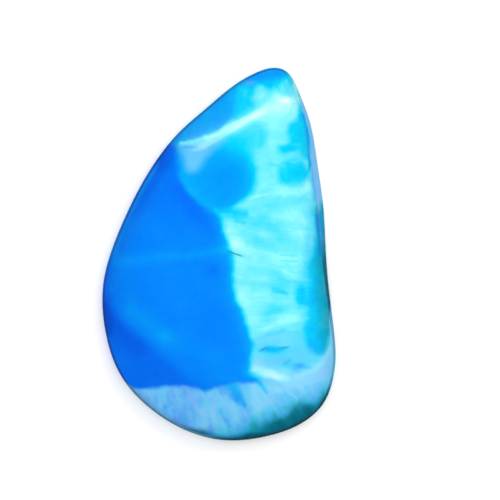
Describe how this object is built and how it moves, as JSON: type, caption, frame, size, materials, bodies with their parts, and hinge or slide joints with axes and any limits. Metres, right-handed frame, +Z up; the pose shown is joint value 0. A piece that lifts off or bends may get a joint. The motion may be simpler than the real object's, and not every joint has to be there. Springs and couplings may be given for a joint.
{
  "type": "larimar cabochon",
  "caption": "Freeform polished blue larimar cabochon: flat back, slightly leaning girdle wall, domed top with a ground facet behind a ridge at its narrow tip.",
  "frame": {"origin": "middle of the underside: the centre of the outline's bounding box, at the level of the flat back", "axes": "+Z up out of the domed top, +Y along the stone's length towards its narrow tip, +X to the nearly straight side"},
  "size_m": [0.0238, 0.038, 0.0068],
  "materials": {
    "larimar": "polished"
  },
  "bodies": {
    "root": {"cabochon": "larimar"}
  },
  "joints": []
}
